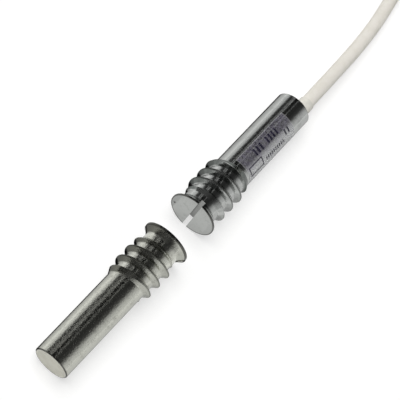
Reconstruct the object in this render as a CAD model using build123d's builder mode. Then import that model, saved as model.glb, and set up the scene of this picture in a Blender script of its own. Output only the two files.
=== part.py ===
from build123d import *
import os
from math import atan2, cos, degrees, radians, sin, tan

# Magnetic reed switch for a door frame, in millimetres with +Z up. A screw-in half holds a sealed
# reed switch with its cable, and a matching half holds the magnet. Both lie on a surface with
# their slotted flanges facing each other. X runs along their common line, with the cable at +X, and
# the origin is on the surface, midway between the two flange faces.

# Housing, the same turned piece on both halves, measured from the flange face
barrel_diameter = 9.0
half_length = 39.0
flange_reach = 1.45
flange_rim = 0.4
flange_thickness = 2.0
flange_dish = 0.12
back_edge_break = 0.2
slot_width = 1.1
slot_depth = 2.1
slot_floor_wall = 1.5
housing_wall = 1.0

# Coarse thread, a single ridge with bare barrel between its turns
thread_height = 1.2
thread_pitch = 3.2
thread_start = 3.4
thread_end = 15.0
thread_run_in = 1.3
thread_run_out = 2.4
crest_width = 0.2
front_flank = 0.75
back_flank = 1.1
ridge_root = 0.3

# How the halves lie. A crest depth is that of the first crest on the half's +Y side
face_gap = 9.2
switch_crest_depth = 3.1
switch_slot_turn = 88.0
magnet_crest_depth = 4.22
magnet_slot_turn = 4.0

# Reed switch, sealed in glass, and its sleeve. The glass takes the length of the bore that the
# leads and the joints leave, which is 14 mm here
glass_diameter = 2.4
front_lead_length = 2.1
rear_lead_length = 3.4
lead_end_gap = 0.9
glass_end_round = 0.6
glass_cavity_diameter = 1.7
glass_seal = 2.2
sleeve_wall = 0.3
sleeve_overhang = 0.3
lead_diameter = 0.5
lead_in_cavity = 0.4
blade_width = 1.0
blade_thickness = 0.2
blade_overlap = 1.0
blade_gap = 0.05
blade_clearance = 0.05

# Cable cores and solder joints inside the switch half
core_diameter = 1.0
conductor_diameter = 0.6
core_spacing = 1.1
core_straight = 3.0
core_rise = 4.5
core_bend_length = 2.0
strip_allowance = 1.3
splice_length = 9.0
joint_clearance = 0.02
solder_diameter = 1.5
rear_joint_length = 2.0
tamper_core_length = 8.2
tamper_solder_diameter = 1.6
tamper_joint_length = 1.2
solder_taper = 0.4

# Cable, its bush and the potting
cable_diameter = 3.3
jacket_inside = 6.0
bush_length = 4.0
bush_wall = 0.4
nozzle_length = 3.6
nozzle_base_diameter = 3.95
nozzle_tip_diameter = 3.75

# Label, a clear film wrapped part way round the switch barrel
label_start = 15.7
bare_behind_label = 5.8
label_thickness = 0.06
label_first_turn = 72.0
label_arc = 143.0

# Magnet half
magnet_side_gap = 0.5
magnet_length = 20.0
magnet_end_gap = 0.2
end_rim = 0.35
end_disc_thickness = 1.2

# Cable route on the surface, up to the hank of spare cable
first_run = 18.0
route_bends = ((75.0, -1.0), (89.0, 1.5))
entry_heading = 8.0
last_run = 9.0
bend_share = 0.45

# Hank of spare cable, folded in line with the switch and drawn in at its waist by a tie
hank_columns = 3
hank_rows = 4
cable_pitch = 3.4
fold_radius = 15.0
fold_spacing = 66.0
hank_lead_length = 10.0
hank_bottom_edge = 0.9
eye_tip_radius = 0.8
eye_tip_place = 10.0
tie_width = 4.0
tie_thickness = 0.8

# Stripped far end, on top of the hank behind the tie
tail_start_place = 3.0
tail_heading = 7.0
tail_length = 12.0
tail_pocket_length = 28.0
tail_clearance = 0.05
tail_core_length = 6.0
tail_bend = 2.0
tail_tip_length = 3.0
tail_spread = 14.0

# Values worked out from the sizes above
barrel_radius = barrel_diameter / 2
flange_radius = barrel_radius + flange_reach
thread_radius = barrel_radius + thread_height
bore_radius = barrel_radius - housing_wall
end_disc_radius = barrel_radius - end_rim
magnet_radius = bore_radius - magnet_side_gap
bore_floor = slot_depth + slot_floor_wall
heel_depth = half_length - back_edge_break
bush_start = half_length - bush_length
jacket_end = half_length - jacket_inside
lead_radius = lead_diameter / 2
conductor_radius = conductor_diameter / 2
cable_radius = cable_diameter / 2
cable_offset = -(bore_radius - bush_wall - cable_radius)
glass_radius = glass_diameter / 2
sleeve_radius = glass_radius + sleeve_wall
front_lead_tip = bore_floor + lead_end_gap
rear_lead_tip = jacket_end - splice_length
glass_start = front_lead_tip + front_lead_length
glass_end = rear_lead_tip - rear_lead_length
glass_length = glass_end - glass_start
label_length = half_length - bare_behind_label - label_start
hank_height = hank_rows * cable_diameter
hank_end_radius = fold_radius + cable_radius
hank_band = (hank_columns - 1) * cable_pitch + cable_diameter
hank_waist = hank_band + (cable_pitch - cable_diameter) / 2

os.makedirs("parts", exist_ok=True)


def resting_half(side, crest_depth, underside_turn):
    """Plane at a half's flange face, +Z towards its back end. The half lies on its last full
    crest and on its back edge, so it leans a little towards the back."""
    first_crest = crest_depth + thread_pitch * underside_turn / 360
    last_full_depth = thread_end - thread_run_out
    crest = first_crest + thread_pitch * ((last_full_depth - first_crest) // thread_pitch)
    lean = atan2(thread_height, heel_depth - crest)
    height = heel_depth * sin(lean) + barrel_radius * cos(lean)
    return Plane(
        origin=(side * face_gap / 2, 0, height),
        x_dir=(0, 1, 0),
        z_dir=(side * cos(lean), 0, -sin(lean)),
    )


def half_axis(half):
    """The line that a half is turned about."""
    return Axis(half.origin, half.z_dir)


def place(half, across, up, depth):
    """A point of a half, from the centre of its flange face."""
    return half.origin + half.x_dir * across + half.y_dir * up + half.z_dir * depth


def face_plane(half, depth, across=0.0, up=0.0):
    """A plane square to a half's axis, at a depth behind its flange face."""
    return Plane(origin=place(half, across, up, depth), x_dir=half.x_dir, z_dir=half.z_dir)


def section_plane(half, turn=0.0):
    """A plane through a half's axis. Its X is the radius at that turn, and its Y the depth."""
    radius_dir = half.x_dir * cos(radians(turn)) + half.y_dir * sin(radians(turn))
    return Plane(origin=half.origin, x_dir=radius_dir, z_dir=radius_dir.cross(half.z_dir))


def bend_radii(points):
    """The radius of each bend of a route: as large as the two runs beside it allow."""
    radii = []
    for before, corner, after in zip(points, points[1:], points[2:]):
        shorter_run = min((corner - before).length, (after - corner).length)
        turn = radians((corner - before).get_angle(after - corner))
        radii.append(bend_share * shorter_run / tan(turn / 2))
    return radii


def wire(points, diameter):
    """A round wire or cable along a route of straight runs and tangent arcs, as a part."""
    with BuildPart() as strand:
        with BuildLine() as route:
            if len(points) > 2:
                FilletPolyline(*points, radius=bend_radii(points))
            else:
                Line(*points)
        with BuildSketch(Plane(origin=points[0], z_dir=points[1] - points[0])):
            Circle(diameter / 2)
        sweep(path=route.wire())
    return strand.part


switch_half = resting_half(1, switch_crest_depth, 270)
magnet_half = resting_half(-1, magnet_crest_depth, 90)


# Housings: flange, barrel, thread, screwdriver slot and bore

def turned_blank(half):
    """The barrel with its countersunk flange, before the thread, slot and bore."""
    cone_start = Vector(flange_radius, flange_rim)
    cone_end = Vector(barrel_radius, flange_thickness)
    cone = cone_end - cone_start
    dished_middle = (cone_start + cone_end) / 2 + Vector(-cone.Y, cone.X).normalized() * flange_dish
    with BuildPart() as blank:
        with BuildSketch(section_plane(half)):
            with BuildLine():
                Polyline((0, 0), (flange_radius, 0), cone_start)
                ThreePointArc(cone_start, dished_middle, cone_end)
                Polyline(
                    cone_end,
                    (barrel_radius, heel_depth),
                    (barrel_radius - back_edge_break, half_length),
                    (0, half_length),
                    (0, 0),
                )
            make_face()
        revolve(axis=half_axis(half))
    return blank.part


def thread_ridge(half, crest_depth):
    """The single ridge of the thread, cut to fade in and out of the barrel at its ends. Its root
    lies under the barrel's surface. The helix starts on the half's own Y side, a quarter turn
    past the side that crest_depth is read on."""
    helix_start = crest_depth + thread_pitch / 4 - thread_pitch
    helix_height = thread_end + thread_pitch - helix_start
    root_radius = barrel_radius - ridge_root
    root_share = (thread_radius - root_radius) / thread_height
    with BuildPart() as ridge:
        with BuildLine() as path:
            Helix(
                thread_pitch,
                helix_height,
                barrel_radius,
                center=place(half, 0, 0, helix_start),
                direction=half.z_dir,
            )
        with BuildSketch(section_plane(half, 90)):
            with BuildLine():
                Polyline(
                    (root_radius, helix_start - crest_width / 2 - front_flank * root_share),
                    (thread_radius, helix_start - crest_width / 2),
                    (thread_radius, helix_start + crest_width / 2),
                    (root_radius, helix_start + crest_width / 2 + back_flank * root_share),
                    close=True,
                )
            make_face()
        sweep(path=path.wire(), is_frenet=True)
        inner_radius = root_radius - ridge_root
        outer_radius = thread_radius + ridge_root
        inner_share = (inner_radius - barrel_radius) / thread_height
        outer_share = (outer_radius - barrel_radius) / thread_height
        with BuildSketch(section_plane(half)):
            with BuildLine():
                Polyline(
                    (inner_radius, thread_start + thread_run_in * inner_share),
                    (outer_radius, thread_start + thread_run_in * outer_share),
                    (outer_radius, thread_end - thread_run_out * outer_share),
                    (inner_radius, thread_end - thread_run_out * inner_share),
                    close=True,
                )
            make_face()
        revolve(axis=half_axis(half), mode=Mode.INTERSECT)
    return ridge.part


def housing(half, crest_depth, slot_turn, mouth_radius, mouth_depth):
    """A finished housing. The mouth is the wider seat at the open end of the bore."""
    with BuildPart() as body:
        add(turned_blank(half))
        add(thread_ridge(half, crest_depth))
        with BuildSketch(face_plane(half, 0)):
            Rectangle(4 * flange_radius, slot_width, rotation=slot_turn)
        extrude(amount=slot_depth, mode=Mode.SUBTRACT)
        with BuildSketch(face_plane(half, bore_floor)):
            Circle(bore_radius)
        extrude(amount=half_length - bore_floor, mode=Mode.SUBTRACT)
        with BuildSketch(face_plane(half, half_length - mouth_depth)):
            Circle(mouth_radius)
        extrude(amount=mouth_depth, mode=Mode.SUBTRACT)
    return body.part


switch_housing = housing(
    switch_half, switch_crest_depth, switch_slot_turn, bore_radius, bush_length
)
switch_housing.label = "switch_housing"
export_step(switch_housing, "parts/switch_housing.step")

magnet_housing = housing(
    magnet_half, magnet_crest_depth, magnet_slot_turn, end_disc_radius, end_disc_thickness
)
magnet_housing.label = "magnet_housing"
export_step(magnet_housing, "parts/magnet_housing.step")


# Reed switch: two overlapping blades sealed in a glass capsule, under a soft sleeve

with BuildPart() as reed_glass:
    with BuildSketch(section_plane(switch_half)) as glass_section:
        with BuildLine():
            Polyline(
                (lead_radius, glass_start),
                (glass_radius, glass_start),
                (glass_radius, glass_end),
                (lead_radius, glass_end),
                (lead_radius, glass_end - glass_seal),
                (glass_cavity_diameter / 2, glass_end - glass_seal),
                (glass_cavity_diameter / 2, glass_start + glass_seal),
                (lead_radius, glass_start + glass_seal),
                close=True,
            )
        make_face()
        fillet(glass_section.vertices().group_by(Axis.X)[-1], glass_end_round)
    revolve(axis=half_axis(switch_half))
reed_glass.part.label = "reed_glass"
export_step(reed_glass.part, "parts/reed_glass.step")

with BuildPart() as reed_sleeve:
    with BuildSketch(face_plane(switch_half, glass_start - sleeve_overhang)):
        Circle(sleeve_radius)
        Circle(glass_radius, mode=Mode.SUBTRACT)
    extrude(amount=glass_length + 2 * sleeve_overhang)
reed_sleeve.part.label = "reed_sleeve"
export_step(reed_sleeve.part, "parts/reed_sleeve.step")


def reed_blade(lead_start, lead_end, blade_start, blade_end, up):
    """A round lead that is flattened into a blade inside the glass."""
    with BuildPart() as blade:
        with BuildSketch(face_plane(switch_half, lead_start)):
            Circle(lead_radius)
        extrude(amount=lead_end - lead_start)
        with BuildSketch(face_plane(switch_half, blade_start, up=up)):
            Rectangle(blade_width, blade_thickness)
        extrude(amount=blade_end - blade_start)
    return blade.part


glass_middle = (glass_start + glass_end) / 2
blade_lift = (blade_gap + blade_thickness) / 2
reed_blade_front = reed_blade(
    front_lead_tip,
    glass_start + glass_seal + lead_in_cavity,
    glass_start + glass_seal + blade_clearance,
    glass_middle + blade_overlap / 2,
    blade_lift,
)
reed_blade_front.label = "reed_blade_front"
export_step(reed_blade_front, "parts/reed_blade_front.step")

reed_blade_rear = reed_blade(
    glass_end - glass_seal - lead_in_cavity,
    rear_lead_tip,
    glass_middle - blade_overlap / 2,
    glass_end - glass_seal - blade_clearance,
    -blade_lift,
)
reed_blade_rear.label = "reed_blade_rear"
export_step(reed_blade_rear, "parts/reed_blade_rear.step")


# Cable cores inside the housing. Each route starts at the jacket's end, and its conductor runs the
# whole way. Its insulation is stripped just before the bend whose number comes first

pass_height = (sleeve_radius + bore_radius) / 2
lead_side = lead_radius + conductor_radius + joint_clearance
front_joint_depth = front_lead_tip + solder_diameter / 2 + joint_clearance
rear_joint_start = rear_lead_tip - rear_joint_length
near_side = cable_offset + core_spacing / 2
far_side = cable_offset - core_spacing / 2
core_level = core_spacing / 2
twin_level = conductor_radius + joint_clearance

tamper_joint_depth = jacket_end - tamper_core_length
tamper_bend_depth = tamper_joint_depth + tamper_joint_length

core_routes = {
    "white": (
        3,
        (near_side, core_level, jacket_end),
        (near_side, core_level, jacket_end - core_straight),
        (0.0, pass_height, jacket_end - core_straight - core_rise),
        (0.0, pass_height, front_joint_depth),
        (0.0, lead_side, front_joint_depth),
    ),
    "brown": (
        1,
        (near_side, -core_level, jacket_end),
        (near_side, -core_level, rear_lead_tip + core_bend_length),
        (-lead_side, 0.0, rear_lead_tip),
        (-lead_side, 0.0, rear_joint_start),
    ),
    "green": (
        1,
        (far_side, core_level, jacket_end),
        (far_side, core_level, tamper_bend_depth + core_bend_length),
        (far_side, twin_level, tamper_bend_depth),
        (far_side, twin_level, tamper_joint_depth),
    ),
    "yellow": (
        1,
        (far_side, -core_level, jacket_end),
        (far_side, -core_level, tamper_bend_depth + core_bend_length),
        (far_side, -twin_level, tamper_bend_depth),
        (far_side, -twin_level, tamper_joint_depth),
    ),
}


def insulated_points(points, strip_bend):
    """A core's route cut off strip_allowance before one of its bends."""
    last_run_dir = (points[strip_bend] - points[strip_bend - 1]).normalized()
    return points[:strip_bend] + [points[strip_bend] - last_run_dir * strip_allowance]


conductors = {}
cores = {}
for colour, (strip_bend, *route) in core_routes.items():
    points = [place(switch_half, *point) for point in route]
    conductors[colour] = wire(points, conductor_diameter)
    with BuildPart() as core:
        add(wire(insulated_points(points, strip_bend), core_diameter))
        add(conductors[colour], mode=Mode.SUBTRACT)
    cores[colour] = core.part
    conductors[colour].label = f"conductor_{colour}"
    cores[colour].label = f"core_{colour}"
    export_step(conductors[colour], f"parts/conductor_{colour}.step")
    export_step(cores[colour], f"parts/core_{colour}.step")


# Solder joints: core to front lead, core to rear lead, and the two cores of the tamper loop

with BuildPart() as solder_front:
    with BuildSketch(section_plane(switch_half)):
        with Locations((0, front_joint_depth)):
            Circle(solder_diameter / 2)
        with Locations((-solder_diameter, front_joint_depth)):
            Rectangle(2 * solder_diameter, 2 * solder_diameter, mode=Mode.SUBTRACT)
    revolve(axis=half_axis(switch_half))
    add(reed_blade_front, mode=Mode.SUBTRACT)
    add(conductors["white"], mode=Mode.SUBTRACT)
solder_front.part.label = "solder_front"
export_step(solder_front.part, "parts/solder_front.step")

with BuildPart() as solder_rear:
    with BuildSketch(face_plane(switch_half, rear_joint_start, across=-lead_side / 2)):
        Circle(solder_diameter / 2)
    extrude(amount=rear_joint_length)
    chamfer(solder_rear.edges().filter_by(GeomType.CIRCLE), solder_taper)
    add(reed_blade_rear, mode=Mode.SUBTRACT)
    add(conductors["brown"], mode=Mode.SUBTRACT)
solder_rear.part.label = "solder_rear"
export_step(solder_rear.part, "parts/solder_rear.step")

with BuildPart() as solder_tamper:
    with BuildSketch(face_plane(switch_half, tamper_joint_depth, across=far_side)):
        Circle(tamper_solder_diameter / 2)
    extrude(amount=tamper_joint_length)
    chamfer(solder_tamper.edges().filter_by(GeomType.CIRCLE), solder_taper)
    add(conductors["green"], mode=Mode.SUBTRACT)
    add(conductors["yellow"], mode=Mode.SUBTRACT)
solder_tamper.part.label = "solder_tamper"
export_step(solder_tamper.part, "parts/solder_tamper.step")


# Cable: a tube from inside the switch half to the hank, laid on the surface

def heading_dir(heading):
    """A level direction, turned from +X towards +Y."""
    return Vector(cos(radians(heading)), sin(radians(heading)), 0)


entry_dir = heading_dir(entry_heading)
floor_bends = [Vector(x, y, cable_radius) for x, y in route_bends]
entry_end = floor_bends[-1] + entry_dir * last_run
cable_points = [
    place(switch_half, cable_offset, 0, jacket_end),
    place(switch_half, cable_offset, 0, jacket_end + first_run),
    *floor_bends,
    entry_end,
]
cable_run = wire(cable_points, cable_diameter)
cable_run.label = "cable_run"
export_step(cable_run, "parts/cable_run.step")


# Hank of spare cable: one solid with the wound form, with the straight stretch that enters its
# outer turn. Its two round ends are joined by a waist that curves in to the tie

entry_tangent = entry_end + entry_dir * hank_lead_length
near_fold = entry_tangent + heading_dir(entry_heading - 90) * fold_radius
hank_center = Vector(near_fold.X + fold_spacing / 2, near_fold.Y, 0)
waist_radius = ((fold_spacing / 2) ** 2 + hank_waist**2 - hank_end_radius**2) / (
    2 * (hank_end_radius - hank_waist)
)
waist_turn = degrees(atan2(fold_spacing / 2, hank_waist + waist_radius))
top_setback = cable_pitch / 2
side_level = hank_waist - cable_radius
top_level = hank_height - cable_radius


def wrapped_section(growth):
    """The waist's section: the cables at its corners, wrapped tight at a distance."""
    third_row = top_level - cable_diameter + tie_thickness / (hank_rows - 1)
    corners = [
        (side * across, level)
        for side in (-1, 1)
        for across, level in (
            (side_level, cable_radius + tie_thickness),
            (side_level, third_row),
            (side_level - top_setback, top_level),
        )
    ]
    with BuildSketch(mode=Mode.PRIVATE) as section:
        with Locations(*corners):
            Circle(cable_radius + growth)
        make_hull()
    return section.sketch


tie_plane = Plane(
    origin=(hank_center.X - tie_width / 2, hank_center.Y, 0), x_dir=(0, 1, 0), z_dir=(1, 0, 0)
)
with BuildPart() as hank_tie:
    with BuildSketch(tie_plane):
        add(wrapped_section(tie_thickness))
        add(wrapped_section(0), mode=Mode.SUBTRACT)
    extrude(amount=tie_width)
hank_tie.part.label = "hank_tie"
export_step(hank_tie.part, "parts/hank_tie.step")

tail_dir = heading_dir(tail_heading)
tail_start = hank_center + Vector(tail_start_place, side_level - top_setback, top_level)
with BuildPart() as cable_hank:
    with BuildSketch(Plane(origin=hank_center)) as hank_outline:
        with BuildLine():
            for side in (-1, 1):
                fold_center = (side * fold_spacing / 2, 0)
                CenterArc(fold_center, hank_end_radius, 90 - 90 * side - 90 - waist_turn, 180 + 2 * waist_turn)
                waist_center = (0, side * (hank_waist + waist_radius))
                CenterArc(waist_center, waist_radius, -90 * side - waist_turn, 2 * waist_turn)
        make_face()
        for side in (-1, 1):
            with BuildSketch(mode=Mode.PRIVATE) as eye:
                with Locations((side * fold_spacing / 2, 0)):
                    Circle(hank_end_radius - hank_band)
                with Locations((side * eye_tip_place, 0)):
                    Circle(eye_tip_radius)
                make_hull()
            add(eye.sketch, mode=Mode.SUBTRACT)
    extrude(amount=hank_height)
    chamfer(cable_hank.faces().sort_by(Axis.Z)[-1].edges(), top_setback)
    chamfer(cable_hank.faces().sort_by(Axis.Z)[0].outer_wire().edges(), hank_bottom_edge)
    with BuildSketch(tie_plane):
        Rectangle(4 * hank_end_radius, 4 * hank_height)
        add(wrapped_section(0), mode=Mode.SUBTRACT)
    extrude(amount=tie_width, mode=Mode.SUBTRACT)
    with BuildSketch(Plane(origin=tail_start, x_dir=heading_dir(tail_heading + 90), z_dir=tail_dir)):
        with Locations((-cable_radius - tail_clearance, -cable_radius - tail_clearance)):
            Rectangle(hank_band, hank_height, align=(Align.MIN, Align.MIN))
    extrude(amount=tail_pocket_length, mode=Mode.SUBTRACT)
    with BuildSketch(Plane(origin=entry_end, z_dir=entry_dir)):
        Circle(cable_radius)
    extrude(amount=hank_lead_length)
cable_hank.part.label = "cable_hank"
export_step(cable_hank.part, "parts/cable_hank.step")


# Stripped far end: the end of the jacket, and four cores with bare tips

tail_end = tail_start + tail_dir * tail_length
with BuildPart() as cable_tail:
    with BuildSketch(Plane(origin=tail_start, z_dir=tail_dir)):
        Circle(cable_radius)
    extrude(amount=tail_length)
cable_tail.part.label = "cable_tail"
export_step(cable_tail.part, "parts/cable_tail.step")

# Which side and level of the jacket each core leaves from, and its share of the spread
tail_places = {
    "white": (1, 1, 1.0),
    "brown": (1, -1, 0.5),
    "green": (-1, 1, 0.1),
    "yellow": (-1, -1, -0.25),
}
tail_side = heading_dir(tail_heading + 90)
for colour, (side, level, spread) in tail_places.items():
    core_start = tail_end + tail_side * (side * core_level) + Vector(0, 0, level * core_level)
    spread_dir = heading_dir(tail_heading + spread * tail_spread)
    core_bend = core_start + tail_dir * tail_bend
    core_end = core_bend + spread_dir * (tail_core_length - tail_bend)
    tail_core = wire([core_start, core_bend, core_end], core_diameter)
    tail_core.label = f"tail_core_{colour}"
    export_step(tail_core, f"parts/tail_core_{colour}.step")
    tail_tip = wire([core_end, core_end + spread_dir * tail_tip_length], conductor_diameter)
    tail_tip.label = f"tail_tip_{colour}"
    export_step(tail_tip, f"parts/tail_tip_{colour}.step")


# Bush at the mouth of the bore, with a short nozzle round the cable, and the potting behind it

with BuildPart() as cable_bush:
    with BuildSketch(face_plane(switch_half, bush_start)):
        Circle(bore_radius)
    extrude(amount=bush_length)
    with BuildSketch(face_plane(switch_half, half_length, across=cable_offset)):
        Circle(nozzle_base_diameter / 2)
    with BuildSketch(face_plane(switch_half, half_length + nozzle_length, across=cable_offset)):
        Circle(nozzle_tip_diameter / 2)
    loft()
    with BuildSketch(face_plane(switch_half, bush_start, across=cable_offset)):
        Circle(cable_radius)
    extrude(amount=bush_length + nozzle_length, mode=Mode.SUBTRACT)
cable_bush.part.label = "cable_bush"
export_step(cable_bush.part, "parts/cable_bush.step")

potted_parts = [
    reed_blade_front,
    reed_blade_rear,
    solder_front.part,
    solder_rear.part,
    solder_tamper.part,
    *cores.values(),
    *conductors.values(),
    cable_run,
]
with BuildPart() as switch_potting:
    with BuildSketch(face_plane(switch_half, bore_floor)):
        Circle(bore_radius)
    extrude(amount=bush_start - bore_floor)
    with BuildSketch(face_plane(switch_half, glass_start - sleeve_overhang)):
        Circle(sleeve_radius)
    extrude(amount=glass_length + 2 * sleeve_overhang, mode=Mode.SUBTRACT)
    for potted_part in potted_parts:
        add(potted_part, mode=Mode.SUBTRACT)
switch_potting.part.label = "switch_potting"
export_step(switch_potting.part, "parts/switch_potting.step")


# Label film on the switch barrel

with BuildPart() as label_film:
    with BuildSketch(section_plane(switch_half, label_first_turn)):
        with Locations((barrel_radius + label_thickness / 2, label_start + label_length / 2)):
            Rectangle(label_thickness, label_length)
    revolve(axis=half_axis(switch_half), revolution_arc=label_arc)
label_film.part.label = "label_film"
export_step(label_film.part, "parts/label_film.step")


# Magnet half: a rod magnet potted in the bore behind a closing disc

with BuildPart() as magnet:
    with BuildSketch(face_plane(magnet_half, bore_floor + magnet_end_gap)):
        Circle(magnet_radius)
    extrude(amount=magnet_length)
magnet.part.label = "magnet"
export_step(magnet.part, "parts/magnet.step")

with BuildPart() as magnet_potting:
    with BuildSketch(face_plane(magnet_half, bore_floor)):
        Circle(bore_radius)
    extrude(amount=half_length - end_disc_thickness - bore_floor)
    add(magnet.part, mode=Mode.SUBTRACT)
magnet_potting.part.label = "magnet_potting"
export_step(magnet_potting.part, "parts/magnet_potting.step")

with BuildPart() as magnet_end_disc:
    with BuildSketch(face_plane(magnet_half, half_length - end_disc_thickness)):
        Circle(end_disc_radius)
    extrude(amount=end_disc_thickness)
magnet_end_disc.part.label = "magnet_end_disc"
export_step(magnet_end_disc.part, "parts/magnet_end_disc.step")


# What the cable's route came out as

run_lengths = [(b - a).length for a, b in zip(cable_points, cable_points[1:])]
print("cable bend radii", [round(radius, 1) for radius in bend_radii(cable_points)])
print("cable runs", [round(length, 1) for length in run_lengths])
print("cable points", [tuple(round(c, 2) for c in point) for point in cable_points])
print("hank centre", round(hank_center.X, 3), round(hank_center.Y, 3))
print("hank waist", round(hank_waist, 3), round(waist_radius, 3), round(waist_turn, 3))
print("tail start", tuple(round(c, 2) for c in tail_start), "end", tuple(round(c, 2) for c in tail_end))
print("cable tube volume", round(cable_run.volume, 2))
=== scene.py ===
"""Looks of the magnetic reed switch: plated metal, label film, cable and a plain studio."""
import logging
import math
from dataclasses import dataclass, field, replace
from enum import Enum
from functools import reduce

import bmesh
import bpy
from mathutils import Matrix, Vector


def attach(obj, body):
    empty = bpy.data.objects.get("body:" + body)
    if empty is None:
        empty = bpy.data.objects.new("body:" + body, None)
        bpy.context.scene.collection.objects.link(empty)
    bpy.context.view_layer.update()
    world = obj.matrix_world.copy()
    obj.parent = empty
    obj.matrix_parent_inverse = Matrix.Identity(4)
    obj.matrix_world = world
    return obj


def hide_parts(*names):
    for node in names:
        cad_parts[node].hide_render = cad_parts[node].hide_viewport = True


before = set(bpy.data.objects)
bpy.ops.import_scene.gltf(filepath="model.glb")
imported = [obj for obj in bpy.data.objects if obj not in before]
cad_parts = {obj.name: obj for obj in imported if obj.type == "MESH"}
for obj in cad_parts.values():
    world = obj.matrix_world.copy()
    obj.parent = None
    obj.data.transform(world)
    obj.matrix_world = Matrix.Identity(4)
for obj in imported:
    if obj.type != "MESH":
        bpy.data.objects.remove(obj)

LOG = logging.getLogger("reed_switch")
MM = 0.001
EDGE_ROUND = 0.1
SHEET_GAP = 0.00002
Colour = tuple[int, int, int]
Pair = tuple[float, float]
Place = tuple[float, float, float]
Socket = bpy.types.NodeSocket
# Colour of the painted shade on edges, crests and in the slot, and of the darkened nick.
EDGE_SHADE_AND_NICK: Colour = (70, 70, 66)


def linear(colour: Colour) -> tuple[float, float, float, float]:
    """Turns a screen colour into the linear one that shaders take.

    Args:
        colour: red, green and blue, each from 0 to 255, as they look on a screen.

    Returns:
        Linear red, green and blue, and 1 for alpha.
    """
    parts = []
    for level in colour:
        share = level / 255
        parts.append(share / 12.92 if share <= 0.04045 else ((share + 0.055) / 1.055) ** 2.4)
    return (parts[0], parts[1], parts[2], 1.0)


def smooth(share: float) -> float:
    """Turns a share into a smooth step from 0 to 1."""
    held = min(max(share, 0.0), 1.0)
    return held * held * (3 - 2 * held)


@dataclass(frozen=True)
class Cloud:
    """A noise pattern.

    Fields: how many features there are in a millimetre, how many finer layers there are, how strong
    these are, and between which levels a patch of it fades in.
    """

    scale: float
    detail: float = 2.0
    rough: float = 0.5
    fade: Pair = (0.0, 1.0)


LATHE_MARKS = Cloud(9.0, 3.0, 0.7)
LATHE_DRIFT = Cloud(0.6)
PEEL = Cloud(2.6)
BLOTCHES = Cloud(0.55, 4.0, 0.65, (0.5, 0.75))
PITS = Cloud(5.5, fade=(0.62, 0.74))
SPECKS = Cloud(3.1, 3.0, 0.6, (0.52, 0.6))
DRAWN_STREAKS = Cloud(1.4)
FILM_CLOUD = Cloud(1.1, 3.0, 0.6, (0.35, 0.65))
FILM_MOTTLE = Cloud(2.4, 3.0, 0.7, (0.35, 0.65))
INK_WEAR = Cloud(6.0, fade=(0.25, 0.45))
MOTTLE_FADE: Pair = (0.35, 0.7)
ROUGH_FADE: Pair = (0.3, 0.7)
GRAIN_FADE: Pair = (0.2, 0.8)


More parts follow.
